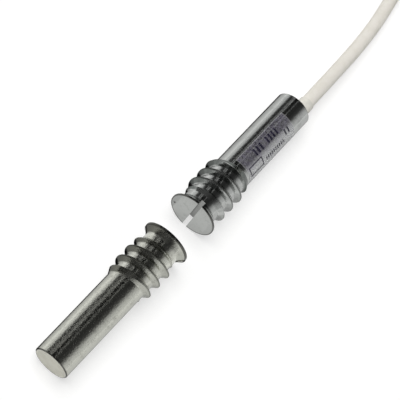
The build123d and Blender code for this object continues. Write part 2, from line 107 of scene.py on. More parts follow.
class Graph:
    """The node tree of one material or of the room, built a node at a time."""

    def __init__(self, owner: bpy.types.Material | bpy.types.World) -> None:
        """Empties the owner's node tree.

        Args:
            owner: the material or the world that the nodes belong to.
        """
        owner.use_nodes = True
        self.owner = owner
        self.tree = owner.node_tree
        self.tree.nodes.clear()

    @classmethod
    def for_material(cls, name: str) -> "Graph":
        """Makes a new material's tree."""
        return cls(bpy.data.materials.new(name))

    def node(self, kind: str, inputs: dict | None = None, **settings: object) -> bpy.types.Node:
        """Adds a node.

        Args:
            kind: the node's Blender type.
            inputs: a value or a socket for each input, by its name or number.
            settings: the node's own settings.

        Returns:
            The new node.
        """
        made = self.tree.nodes.new(kind)
        for key, value in settings.items():
            setattr(made, key, value)
        for key, value in (inputs or {}).items():
            if isinstance(value, Socket):
                self.tree.links.new(value, made.inputs[key])
            else:
                made.inputs[key].default_value = value
        return made

    def math(self, operation: str, first: object, second: object = 0.0, third: object = 0.0) -> Socket:
        """Joins up to three numbers by one operation.

        Args:
            operation: the Math node's operation.
            first: a number or a socket.
            second: a number or a socket.
            third: a number or a socket.

        Returns:
            The result's socket.
        """
        made = self.node("ShaderNodeMath", {0: first, 1: second, 2: third}, operation=operation)
        return made.outputs[0]

    def product(self, first: object, second: object) -> Socket:
        """Multiplies two numbers, each a number or a socket."""
        return self.math("MULTIPLY", first, second)

    def greatest(self, *values: Socket) -> Socket:
        """Takes the greatest of some numbers."""
        return reduce(lambda first, second: self.math("MAXIMUM", first, second), values)

    def measure(self, operation: str, first: object, second: object) -> Socket:
        """Joins two vectors, each a vector or a socket, into a number."""
        made = self.node("ShaderNodeVectorMath", {0: first, 1: second}, operation=operation)
        return made.outputs["Value"]

    def blend(self, share: object, low: object, high: object) -> Socket:
        """Mixes two colours.

        Args:
            share: how much of the second colour there is, from 0 to 1.
            low: a linear colour or a socket.
            high: a linear colour or a socket.

        Returns:
            The mixed colour's socket.
        """
        made = self.node("ShaderNodeMix", {0: share, 6: low, 7: high}, data_type="RGBA")
        return made.outputs[2]

    def ease(
        self, value: object, start: float, end: float, low: float = 0.0, high: float = 1.0
    ) -> Socket:
        """Turns a number into a smooth step.

        Args:
            value: the number, or its socket.
            start: where the step starts.
            end: where it ends.
            low: the result up to the start.
            high: the result past the end.

        Returns:
            The result's socket.
        """
        made = self.node(
            "ShaderNodeMapRange",
            {"Value": value, 1: start, 2: end, 3: low, 4: high},
            interpolation_type="SMOOTHSTEP",
        )
        return made.outputs[0]

    def steps(self, value: object, stops: tuple[Pair, ...]) -> Socket:
        """Turns a number from 0 to 1 into a grey level.

        Args:
            value: the number's socket.
            stops: places from 0 to 1, each with its level.

        Returns:
            The level's socket.
        """
        made = self.node("ShaderNodeValToRGB", {0: value})
        elements = made.color_ramp.elements
        for place, _ in stops[2:]:
            elements.new(place)
        for element, (place, level) in zip(elements, stops):
            element.position = place
            element.color = (level, level, level, 1.0)
        return made.outputs[0]

    def band(self, value: Socket, start: float, end: float, soft: float) -> Socket:
        """Marks the stretch between two values.

        Args:
            value: the number's socket.
            start: the stretch's start.
            end: its end.
            soft: how far each end fades.

        Returns:
            A socket that is 1 inside the stretch and 0 outside it.
        """
        rise = self.ease(value, start - soft / 2, start + soft / 2)
        fall = self.ease(value, end - soft / 2, end + soft / 2, 1.0, 0.0)
        return self.product(rise, fall)

    def noise(self, vector: Socket, cloud: Cloud) -> Socket:
        """A cloudy pattern from 0 to 1.

        Args:
            vector: where the pattern is read.
            cloud: the pattern.

        Returns:
            The pattern's socket.
        """
        made = self.node("ShaderNodeTexNoise", {
            "Vector": vector,
            "Scale": cloud.scale,
            "Detail": cloud.detail,
            "Roughness": cloud.rough,
        })
        return made.outputs["Fac"]

    def patches(self, vector: Socket, cloud: Cloud, low: float = 0.0, high: float = 1.0) -> Socket:
        """Patches with soft edges, cut out of a cloudy pattern.

        Args:
            vector: where the pattern is read.
            cloud: the pattern.
            low: the result outside the patches.
            high: the result inside them.

        Returns:
            The patches' socket.
        """
        return self.ease(self.noise(vector, cloud), *cloud.fade, low, high)

    def bump(
        self, height: Socket, depth: float, strength: float, under: Socket | None = None
    ) -> Socket:
        """A bumped normal.

        Args:
            height: the relief, from 0 to 1.
            depth: the relief's height in millimetres.
            strength: how strongly it shows.
            under: a normal that it adds to.

        Returns:
            The normal's socket.
        """
        inputs = {"Strength": strength, "Distance": depth * MM, "Height": height}
        if under is not None:
            inputs["Normal"] = under
        return self.node("ShaderNodeBump", inputs).outputs[0]

    def own_millimetres(self, pose: "HalfPose | None" = None) -> Socket:
        """Object coordinates in millimetres, in a half's own axes where one is given.

        Args:
            pose: the half, or None for the row's own axes.

        Returns:
            The coordinates' socket.
        """
        inputs = {"Vector": self.node("ShaderNodeTexCoord").outputs["Object"], "Scale": (MM, MM, MM)}
        if pose is not None:
            inputs["Location"] = [level * MM for level in pose.origin]
            inputs["Rotation"] = (0.0, pose.lean, 0.0)
        return self.node("ShaderNodeMapping", inputs, vector_type="TEXTURE").outputs[0]

    def surface(self, inputs: dict) -> bpy.types.Material:
        """Ends the material in one Principled shader.

        Args:
            inputs: a value or a socket for each of its inputs.

        Returns:
            The finished material.
        """
        shader = self.node("ShaderNodeBsdfPrincipled", inputs)
        self.node("ShaderNodeOutputMaterial", {"Surface": shader.outputs[0]})
        return self.owner


@dataclass(frozen=True)
class HalfPose:
    """How one half lies. Its own X runs from its flange face to its back end.

    Fields: the flange face's centre in millimetres, and the turn about Y that lays the axis.
    """

    origin: Place
    lean: float


SWITCH_POSE = HalfPose(origin=(4.6, 0.0, 6.2246645), lean=0.0445801)
MAGNET_POSE = HalfPose(origin=(-4.6, 0.0, 6.1945647), lean=math.pi - 0.0437996)


@dataclass(frozen=True)
class BarrelPlace:
    """Where a point of a half lies: sockets in millimetres, in the half's own axes.

    Fields: the vector, its three numbers and the distance from the half's axis.
    """

    own: Socket
    along: Socket
    across: Socket
    height: Socket
    radius: Socket

    @classmethod
    def of(cls, graph: Graph, pose: HalfPose) -> "BarrelPlace":
        """Measures a half.

        Args:
            graph: the material being built.
            pose: how the half lies.

        Returns:
            The place.
        """
        own = graph.own_millimetres(pose)
        along, across, height = graph.node("ShaderNodeSeparateXYZ", {0: own}).outputs
        squares = graph.math("ADD", graph.product(across, across), graph.product(height, height))
        return cls(own, along, across, height, graph.math("SQRT", squares))


@dataclass(frozen=True)
class HousingPlaces:
    """Where a housing's features lie, for its finish.

    Fields, in millimetres: each pair is where a feature starts and ends, or where it fades in or
    out. Those up to back_edge are counted from the flange face, and the others from the axis. The
    last two are how far the ends of two stretches fade.
    """

    face: Pair = (0.1, 0.3)
    slot: Pair = (0.3, 2.6)
    thread: Pair = (2.2, 2.6)
    run_out: Pair = (13.3, 15.4)
    back_edge: Pair = (38.68, 38.82)
    slot_radius: Pair = (4.3, 4.5)
    run_out_radius: Pair = (4.51, 4.57)
    flank_radius: Pair = (4.55, 4.75)
    crest_radius: Pair = (5.48, 5.62)
    rim_radius: Pair = (5.66, 5.72)
    slot_soft: float = 0.2
    run_out_soft: float = 0.6


@dataclass(frozen=True)
class WearAndShade:
    """How the plate's features differ from its bare face.

    Fields: how much painted shade shows on the rim, how dark the nick is, and how much painted shade
    shows on the back edge, the crests and the slot, how much rougher three are, how much painted
    shade darkens the flange face and how stained the blotches are, how much painted shade the thread
    gets on its lighter and on its darker side, where the scuffed strip's edge fades, as the cosine of
    the angle from its middle, and how much smoother and rougher the plate is from patch to patch.
    """

    # How much painted shade darkens the rim, back edge, crest and slot, and how dark the nick is.
    rim: float = 0.85
    nick: float = 0.7
    back_edge: float = 0.85
    crest: float = 0.25
    slot: float = 0.6
    flank_dullness: float = 0.03
    speck_dullness: float = 0.45
    crest_dullness: float = 0.4
    # How much painted shade darkens the flange face, and how stained the blotches are.
    face_shade: float = 0.5
    blotch_stain: float = 0.45
    # Shares of painted shade on the thread's lighter and on its darker side.
    thread_shade: Pair = (0.12, 0.85)
    scuff_edge: Pair = (0.9, 0.97)
    roughness: Pair = (-0.04, 0.07)


@dataclass(frozen=True)
class Relief:
    """How deep the marks in the plate are, in millimetres.

    Fields: lathe_share is how strongly the lathe marks show, lathe_drift how far they wander, and
    nick_edge how far from its middle the nick's edge lies.
    """

    lathe: float = 0.004
    lathe_share: float = 0.5
    lathe_drift: float = 0.12
    peel: float = 0.035
    pits: float = -0.02
    nick: float = -0.3
    nick_edge: Pair = (0.2, 0.4)


@dataclass(frozen=True)
class PlateMarks:
    """Sockets, from 0 to 1, that mark what differs from place to place on a housing."""

    face: Socket
    flank: Socket
    # Where shade is painted on the thread flanks and the run-out.
    thread_shade: Socket
    specks: Socket
    rim: Socket
    crest: Socket
    back_edge: Socket
    slot: Socket
    nick: Socket
    pits: Socket
    blotch: Socket


@dataclass(frozen=True)
class PlatedMetal:
    """Turned metal under a thin plate: lathe marks, peel, small pits and faint stains, with painted
    shade on the flange face, thread, edges and slot.

    Fields: the name, the half, the colours of the plate, of its stains, also used for the painted
    shade on the flange face, and of the painted shade on the thread, between which places across the
    barrel that painted shade fades in, the roughness, how strongly peel and pits show, the nick's
    place, which way the scuffed strip faces and how scuffed it is, how much painted shade darkens the
    thread's run-out, and the places, the wear and painted shade, and the relief that both halves share.
    """

    name: str
    pose: HalfPose
    plate: Colour
    # Stain colour, also used for the painted shade on the flange face.
    stain_and_shade: Colour
    # Colour of the painted shade on the thread flanks and run-out, and where across the barrel it fades
    # in.
    thread_shade: Colour
    shaded_across: Pair
    roughness: float
    peel: float
    pits: float
    nick: Place
    scuffed: Place
    scuff: float
    # How much painted shade darkens the thread's run-out.
    run_out: float
    places: HousingPlaces = HousingPlaces()
    # The plate's wear and its painted shade.
    wear: WearAndShade = WearAndShade()
    relief: Relief = Relief()

    def marks(self, graph: Graph, place: BarrelPlace) -> PlateMarks:
        """Marks the housing's features, the plate's wear and where shade is painted on it.

        Args:
            graph: the material being built.
            place: the half's own axes.

        Returns:
            The marks.
        """
        at = self.places
        face = graph.ease(place.along, *at.face, 1.0, 0.0)
        flank = graph.product(
            graph.ease(place.radius, *at.flank_radius), graph.math("SUBTRACT", 1.0, face)
        )
        # Painted shade: on one side of the thread flanks, and over the thread's run-out.
        shaded_side = graph.ease(place.across, *self.shaded_across, *self.wear.thread_shade)
        run_out = graph.product(
            graph.band(place.along, *at.run_out, at.run_out_soft),
            graph.ease(place.radius, *at.run_out_radius, 0.0, self.run_out),
        )
        facing = graph.measure("DOT_PRODUCT", place.own, self.scuffed)
        facing = graph.math("DIVIDE", facing, place.radius)
        scuff = graph.product(graph.ease(facing, *self.wear.scuff_edge), self.scuff)
        crest = graph.ease(place.radius, *at.crest_radius)
        slot = graph.band(place.along, *at.slot, at.slot_soft)
        from_nick = graph.measure("DISTANCE", place.own, self.nick)
        return PlateMarks(
            face=face,
            flank=flank,
            thread_shade=graph.greatest(graph.product(flank, shaded_side), run_out),
            specks=graph.product(graph.patches(place.own, SPECKS), scuff),
            # Rim, crest, back edge and slot mark where shade is painted; the nick marks a dent that is
            # darkened.
            rim=graph.ease(place.radius, *at.rim_radius),
            crest=graph.product(crest, graph.ease(place.along, *at.thread)),
            back_edge=graph.ease(place.along, *at.back_edge),
            slot=graph.product(slot, graph.ease(place.radius, *at.slot_radius, 1.0, 0.0)),
            nick=graph.ease(from_nick, *self.relief.nick_edge, 1.0, 0.0),
            pits=graph.patches(place.own, PITS),
            blotch=graph.noise(place.own, BLOTCHES),
        )

    def normal(self, graph: Graph, place: BarrelPlace, marks: PlateMarks) -> Socket:
        """Gives the plate its lathe marks, peel, pits and nick.

        Args:
            graph: the material being built.
            place: the half's own axes.
            marks: the plate's marks.

        Returns:
            The normal's socket.
        """
        relief = self.relief
        travel = graph.math("ADD", place.along, place.radius)
        drift = graph.product(graph.noise(place.own, LATHE_DRIFT), relief.lathe_drift)
        line = graph.node("ShaderNodeCombineXYZ", {0: graph.math("ADD", travel, drift)}).outputs[0]
        normal = graph.node("ShaderNodeBevel", {"Radius": EDGE_ROUND * MM}, samples=4).outputs[0]
        normal = graph.bump(graph.noise(line, LATHE_MARKS), relief.lathe, relief.lathe_share, normal)
        normal = graph.bump(graph.noise(place.own, PEEL), relief.peel, self.peel, normal)
        normal = graph.bump(marks.pits, relief.pits, self.pits, normal)
        return graph.bump(marks.nick, relief.nick, 1.0, normal)

    def tint(self, graph: Graph, marks: PlateMarks) -> Socket:
        """Colours the plate, with its stains and its painted shade.

        Args:
            graph: the material being built.
            marks: the plate's marks.

        Returns:
            The colour's socket.
        """
        wear = self.wear
        stain_and_shade = linear(self.stain_and_shade)
        stained = graph.ease(marks.blotch, *BLOTCHES.fade, 0.0, wear.blotch_stain)
        tint = graph.blend(stained, linear(self.plate), stain_and_shade)
        tint = graph.blend(graph.product(marks.pits, self.pits), tint, stain_and_shade)
        # Painted shade on the flange face, where the halves shade each other.
        tint = graph.blend(graph.product(marks.face, wear.face_shade), tint, stain_and_shade)
        # Painted shade on one side of the thread flanks and over the run-out.
        tint = graph.blend(marks.thread_shade, tint, linear(self.thread_shade))
        # Painted shade on the flange rim, the back edge, the thread crests and in the slot, and the
        # nick darkened.
        edge_shade_and_nick = graph.greatest(
            graph.product(marks.rim, wear.rim),
            graph.product(marks.nick, wear.nick),
            graph.product(marks.back_edge, wear.back_edge),
            graph.product(marks.crest, wear.crest),
            graph.product(marks.slot, wear.slot),
        )
        return graph.blend(edge_shade_and_nick, tint, linear(EDGE_SHADE_AND_NICK))

    def material(self) -> bpy.types.Material:
        """Builds the finish in the half's own axes.

        Returns:
            The material.
        """
        graph = Graph.for_material(self.name)
        place = BarrelPlace.of(graph, self.pose)
        marks = self.marks(graph, place)
        wear = self.wear
        least, most = (self.roughness + change for change in wear.roughness)
        rough = graph.ease(marks.blotch, *ROUGH_FADE, least, most)
        rough = graph.math("MULTIPLY_ADD", marks.flank, wear.flank_dullness, rough)
        rough = graph.math("MULTIPLY_ADD", marks.specks, wear.speck_dullness, rough)
        rough = graph.math("MULTIPLY_ADD", marks.crest, wear.crest_dullness, rough)
        return graph.surface({
            "Base Color": self.tint(graph, marks),
            "Metallic": 1.0,
            "Roughness": rough,
            "Normal": self.normal(graph, place, marks),
        })


@dataclass(frozen=True)
class Moulded:
    """Moulded or extruded plastic, rubber or resin, with a fine grain and a faint mottle.

    Fields: the name, two colours, the roughness and how far it varies, how many grains there are in
    a millimetre and how many times as coarse the mottle is, the grain's depth in millimetres, and
    how much gloss lies over it.
    """

    name: str
    base: Colour
    mottle: Colour
    roughness: float
    grain: float
    relief: float
    coat: float = 0.0
    varied: float = 0.06
    coarser: float = 6.0

    def material(self) -> bpy.types.Material:
        """Builds the finish.

        Returns:
            The material.
        """
        graph = Graph.for_material(self.name)
        own = graph.own_millimetres()
        mottle = graph.patches(own, Cloud(self.grain / self.coarser, 3.0, 0.6, MOTTLE_FADE))
        grain = graph.noise(own, Cloud(self.grain, 3.0, 0.6))
        least, most = self.roughness - self.varied, self.roughness + self.varied
        return graph.surface({
            "Base Color": graph.blend(mottle, linear(self.base), linear(self.mottle)),
            "Roughness": graph.ease(grain, *GRAIN_FADE, least, most),
            "Coat Weight": self.coat,
            "Normal": graph.bump(grain, self.relief, 0.6),
        })


@dataclass(frozen=True)
class BareMetal:
    """Drawn wire, solder or magnet alloy, seen only at the stripped end or inside.

    Fields: the name, two colours, the roughness and how much rougher it gets, and how many grains
    there are in a millimetre.
    """

    name: str
    base: Colour
    shade: Colour
    roughness: float
    grain: float
    rougher: float = 0.15

    def material(self) -> bpy.types.Material:
        """Builds the finish.

        Returns:
            The material.
        """
        graph = Graph.for_material(self.name)
        own = graph.own_millimetres()
        cloud = graph.noise(own, Cloud(self.grain, 3.0, 0.6))
        shaded = graph.ease(cloud, *MOTTLE_FADE)
        return graph.surface({
            "Base Color": graph.blend(shaded, linear(self.base), linear(self.shade)),
            "Metallic": 1.0,
            "Roughness": graph.ease(cloud, *ROUGH_FADE, self.roughness, self.roughness + self.rougher),
            "Normal": graph.bump(cloud, 0.01, 0.5),
        })


@dataclass(frozen=True)
class ClearGlass:
    """The reed capsule's greenish glass, with faint drawn streaks.

    Fields: the name, the colours of the glass and its streaks, and its least and most roughness.
    """

    name: str
    tint: Colour
    streak: Colour
    roughness: Pair = (0.02, 0.06)

    def material(self) -> bpy.types.Material:
        """Builds the finish.

        Returns:
            The material.
        """
        graph = Graph.for_material(self.name)
        own = graph.own_millimetres(SWITCH_POSE)
        streak = graph.noise(own, DRAWN_STREAKS)
        return graph.surface({
            "Base Color": graph.blend(streak, linear(self.tint), linear(self.streak)),
            "Roughness": graph.ease(streak, *ROUGH_FADE, *self.roughness),
            "Transmission Weight": 1.0,
            "IOR": 1.5,
        })


@dataclass(frozen=True)
class PrintBlock:
    """A row of plain printed bars on the label, or one area of it.

    Fields, in millimetres: start and end along the barrel, start and end round it, the step from
    bar to bar, the share of each step that is printed, and how far an edge fades.
    """

    along: Pair
    around: Pair
    step: float = 0.0
    share: float = 1.0
    soft: float = 0.1

    def inset(self, by: float) -> "PrintBlock":
        """Makes a smaller area with the same middle.

        Args:
            by: how much smaller it is on each side.

        Returns:
            The smaller area.
        """
        along = (self.along[0] + by, self.along[1] - by)
        around = (self.around[0] + by, self.around[1] - by)
        return replace(self, along=along, around=around)

    def mask(self, graph: Graph, along: Socket, around: Socket) -> Socket:
        """Marks the block.

        Args:
            graph: the material being built.
            along: the place along the barrel.
            around: the place round it.

        Returns:
            A socket that is 1 on the block.
        """
        marked = graph.product(
            graph.band(along, *self.along, self.soft), graph.band(around, *self.around, self.soft)
        )
        if self.step:
            start = self.along[0]
            phase = graph.math("WRAP", along, start + self.step, start)
            end = start + self.step * self.share
            bar = graph.ease(phase, end - self.soft / 2, end + self.soft / 2, 1.0, 0.0)
            marked = graph.product(marked, bar)
        return marked


@dataclass(frozen=True)
class LabelFilm:
    """The clear film on the switch barrel, with plain bars where print would be.

    Fields: the film's area in millimetres, the radius of its face, between which depths under that
    the finish fades in, the turn of its first edge in degrees, how far before it the count round
    the barrel starts, and the width of its rim. Then the colours of film, of the painted highlight on
    its rim, and of ink, the roughness and gloss, how much of the metal the film, its rim with the
    painted highlight and its ink hide, how far film and ink vary, the printed blocks, and the empty
    box with its line.
    """

    name: str = "label_film_finish"
    area: PrintBlock = PrintBlock((15.7, 33.2), (0.0, 11.38))
    radius: float = 4.56
    under_face: Pair = (0.04, 0.02)
    first_turn: float = 72.0
    before_turn: float = 60.0
    rim_width: float = 0.15
    film: Colour = (219, 217, 226)
    cloud: Colour = (204, 197, 222)
    # Colour of the painted highlight on the film's edge.
    rim: Colour = (226, 225, 230)
    ink: Colour = (26, 24, 42)
    roughness: float = 0.3
    coat: float = 0.4
    clear_alpha: float = 0.145
    # How much of the metal the painted rim highlight hides.
    rim_alpha: float = 0.24
    ink_alpha: float = 0.96
    mottled: Pair = (0.45, 1.55)
    inked: Pair = (0.75, 1.0)
    blocks: tuple[PrintBlock, ...] = (
        PrintBlock((20.3, 23.8), (1.1, 3.0), 1.16, 0.52),
        PrintBlock((24.9, 29.3), (1.1, 3.0), 1.1, 0.52),
        PrintBlock((22.4, 29.4), (4.9, 5.9), 0.7, 0.5),
        PrintBlock((30.2, 32.4), (3.2, 4.8), 1.1, 0.4),
    )
    box: PrintBlock = PrintBlock((16.5, 21.3), (3.7, 6.2))
    box_line: float = 0.3

    def print_mask(self, graph: Graph, along: Socket, around: Socket) -> Socket:
        """Marks where the film is printed.

        Args:
            graph: the material being built.
            along: the place along the barrel.
            around: the place round it.

        Returns:
            A socket that is 1 on print.
        """
        hollow = self.box.inset(self.box_line)
        outline = graph.math(
            "SUBTRACT", self.box.mask(graph, along, around), hollow.mask(graph, along, around)
        )
        return graph.greatest(*(block.mask(graph, along, around) for block in self.blocks), outline)

    def turned(self, graph: Graph, place: BarrelPlace) -> Socket:
        """Measures round the barrel from the film's first edge.

        Args:
            graph: the material being built.
            place: the half's own axes.

        Returns:
            The way round in millimetres.
        """
        first = math.radians(self.first_turn)
        start = first - math.radians(self.before_turn)
        turn = graph.math("ARCTAN2", place.height, place.across)
        turn = graph.math("WRAP", turn, start + 2 * math.pi, start)
        return graph.product(graph.math("SUBTRACT", turn, first), self.radius)

    def material(self) -> bpy.types.Material:
        """Builds the finish.

        Returns:
            The material.
        """
        graph = Graph.for_material(self.name)
        place = BarrelPlace.of(graph, SWITCH_POSE)
        outer = graph.ease(place.radius, *(self.radius - depth for depth in self.under_face))
        around = self.turned(graph, place)
        inner = self.area.inset(self.rim_width).mask(graph, place.along, around)
        cloud = graph.noise(place.own, FILM_CLOUD)
        clouded = graph.ease(cloud, *FILM_CLOUD.fade)
        film = graph.blend(clouded, linear(self.film), linear(self.cloud))
        # Painted highlight on the film's rim, where its edge catches light.
        film = graph.blend(inner, linear(self.rim), film)
        wear = graph.patches(place.own, INK_WEAR, *self.inked)
        ink = graph.product(self.print_mask(graph, place.along, around), wear)
        hiding = (self.clear_alpha * share for share in self.mottled)
        clear = graph.patches(place.own, FILM_MOTTLE, *hiding)
        # The rim's painted highlight hides more of the metal.
        rim = graph.ease(inner, 0.0, 1.0, self.rim_alpha, 0.0)
        cover = graph.greatest(clear, rim, graph.product(ink, self.ink_alpha))
        return graph.surface({
            "Base Color": graph.blend(ink, film, linear(self.ink)),
            "Roughness": self.roughness,
            "Coat Weight": self.coat,
            "Alpha": graph.product(cover, outer),
            "Normal": graph.bump(cloud, 0.02, 0.4),
        })


@dataclass(frozen=True)
class Track:
    """Where one turn of the hank lies, and where it changes to the next turn's place.

    Fields: the radius of its folds in millimetres, its row from the floor up, and the first and
    last point of the change, counted round the turn.
    """

    radius: float
    row: int
    change: tuple[int, int] = (0, 1)


@dataclass
class Hank:
    """The spare cable, folded in turns that a tie draws together at the waist.

    Fields, in millimetres: the centre, the distance between the folds' centres, the fold radius and
    waist of the outer turn, the cable's diameter, the tie's thickness and how far from the waist the
    hank starts to rise over it. The cable comes in at the heading, in degrees. A turn has run_points
    on each long side and fold_points on each fold.
    """

    centre: Pair = (142.903, -10.71)
    fold_spacing: float = 66.0
    outer_radius: float = 15.0
    outer_waist: float = 8.5
    diameter: float = 3.3
    tie_thickness: float = 0.8
    tie_reach: Pair = (16.0, 4.0)
    entry_heading: float = 8.0
    run_points: int = 6
    fold_points: int = 10
    entry_points: int = 2
    reach: float = field(init=False)
    waist_turn: float = field(init=False)
    waist_centre: float = field(init=False)
    tracks: tuple[Track, ...] = field(init=False)

    def __post_init__(self) -> None:
        """Works out the waist's arcs and the turns."""
        half = self.fold_spacing / 2
        drawn_in = self.outer_radius - self.outer_waist
        bend = (half**2 + self.outer_waist**2 - self.outer_radius**2) / (2 * drawn_in)
        self.reach = self.outer_radius + bend
        self.waist_turn = math.asin(half / self.reach)
        self.waist_centre = self.outer_waist + bend
        right_fold = (self.run_points - 1, self.run_points + self.fold_points)
        before_tie = (right_fold[1] - 1, right_fold[1] + 2)
        after_tie = (before_tie[1] + 1, before_tie[1] + 4)
        left_fold = (after_tie[1], after_tie[1] + self.fold_points - 1)
        self.tracks = (
            Track(15.0, 0, left_fold),
            Track(11.6, 0, left_fold),
            Track(8.2, 0, after_tie),
            Track(9.9, 1, after_tie),
            Track(13.3, 1, after_tie),
            Track(15.0, 2, before_tie),
            Track(11.6, 2, before_tie),
            Track(8.2, 2, right_fold),
            Track(9.9, 3, right_fold),
            Track(13.3, 3),
        )

    def around_fold(self, side: int, angle: float, step: float, radius: float) -> Pair:
        """A control point over one step of a fold.

        Args:
            side: 1 for the far fold, -1 for the near one.
            angle: the middle of the step, in radians.
            step: the step's angle.
            radius: the turn's radius.

        Returns:
            The point from the hank's centre.
        """
        out = radius / math.cos(step / 2)
        return (side * self.fold_spacing / 2 + out * math.cos(angle), out * math.sin(angle))

    def along_waist(self, side: int, share: float, radius: float) -> Pair:
        """A control point on a long side.

        Args:
            side: 1 for the +Y side, -1 for the other.
            share: from -1 at the -X end to 1 at the +X end.
            radius: the turn's radius at its folds.

        Returns:
            The point from the hank's centre.
        """
        angle = share * self.waist_turn
        out = (self.reach - radius) / math.cos(self.waist_turn / self.run_points)
        return (out * math.sin(angle), side * (self.waist_centre - out * math.cos(angle)))

    def raised(self, place: Pair, row: float) -> Place:
        """Sets a point's height: its row, and lifted where the tie passes under the hank.

        Args:
            place: the point from the hank's centre.
            row: its row, between two rows while it changes.

        Returns:
            The point in the part's own axes.
        """
        outer, inner = self.tie_reach
        near = smooth((outer - abs(place[0])) / (outer - inner))
        lift = self.tie_thickness * near * (1 - row / self.tracks[-1].row)
        height = self.diameter * (row + 0.5) + lift
        return (self.centre[0] + place[0], self.centre[1] + place[1], height)

    def turn(self, radii: list[float]) -> list[Pair]:
        """One turn's control points, from the +Y side round the far fold.

        Args:
            radii: the radius at each point.

        Returns:
            The points from the hank's centre.
        """
        runs, folds = self.run_points, self.fold_points
        fold_arc = math.pi + 2 * self.waist_turn
        step = fold_arc / folds
        points = []
        for index, radius in enumerate(radii):
            part, place = divmod(index, runs + folds)
            side = 1 if part == 0 else -1
            if place < runs:
                share = side * ((2 * place + 1) / runs - 1)
                points.append(self.along_waist(side, share, radius))
            else:
                angle = fold_arc / 2 - (place - runs + 0.5) * step + math.pi * part
                points.append(self.around_fold(side, angle, step, radius))
        return points

    def points(self) -> list[Place]:
        """The whole hank, from the floor at its near end to the last turn's tie.

        Returns:
            Control points in millimetres.
        """
        start = math.pi / 2 + math.radians(self.entry_heading)
        step = (start - (math.pi / 2 - self.waist_turn)) / self.entry_points
        flat = [
            self.around_fold(-1, start - (index + 0.5) * step, step, self.outer_radius)
            for index in range(self.entry_points)
        ]
        made = [self.raised(place, 0) for place in flat]
        count = 2 * (self.run_points + self.fold_points)
        for track, following in zip(self.tracks, self.tracks[1:]):
            first, last = track.change
            shares = [smooth((index - first) / (last - first)) for index in range(count)]
            radii = [track.radius + (following.radius - track.radius) * share for share in shares]
            rows = [track.row + (following.row - track.row) * share for share in shares]
            made += [self.raised(place, row) for place, row in zip(self.turn(radii), rows)]
        top = self.tracks[-1]
        last_run = self.turn([top.radius] * (self.run_points // 2))
        return made + [self.raised(place, top.row) for place in last_run]


@dataclass
class Cable:
    """The four-core cable: one curve from inside the switch half to its stripped end.

    Fields, in millimetres: the diameter, the route's points up to the hank and the points after it.
    """

    diameter: float = 3.3
    route: tuple[Place, ...] = (
        (37.57, -1.45, 4.75),
        (55.55, -1.45, 3.95),
        (75.0, -1.0, 1.65),
        (89.0, 1.5, 1.65),
        (97.91, 2.75, 1.65),
    )
    tail: tuple[Place, ...] = ((145.9, -3.91, 11.55), (157.81, -2.45, 11.55))
    hank: Hank = field(default_factory=Hank)

    def build(self, finish: bpy.types.Material) -> bpy.types.Object:
        """Makes the cable.

        Args:
            finish: the jacket's material.

        Returns:
            The cable.
        """
        points = [*self.route, *self.hank.points(), *self.tail]
        curve = bpy.data.curves.new("cable", "CURVE")
        curve.dimensions = "3D"
        curve.bevel_depth = self.diameter / 2 * MM
        curve.bevel_resolution = 6
        curve.resolution_u = 10
        curve.use_fill_caps = True
        spline = curve.splines.new("NURBS")
        spline.points.add(len(points) - 1)
        for point, place in zip(spline.points, points):
            point.co = (place[0] * MM, place[1] * MM, place[2] * MM, 1.0)
        spline.order_u = 3
        spline.use_endpoint_u = True
        cable = bpy.data.objects.new("cable", curve)
        bpy.context.scene.collection.objects.link(cable)
        curve.materials.append(finish)
        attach(cable, "root")
        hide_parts("cable_run", "cable_hank", "cable_tail")
        return cable


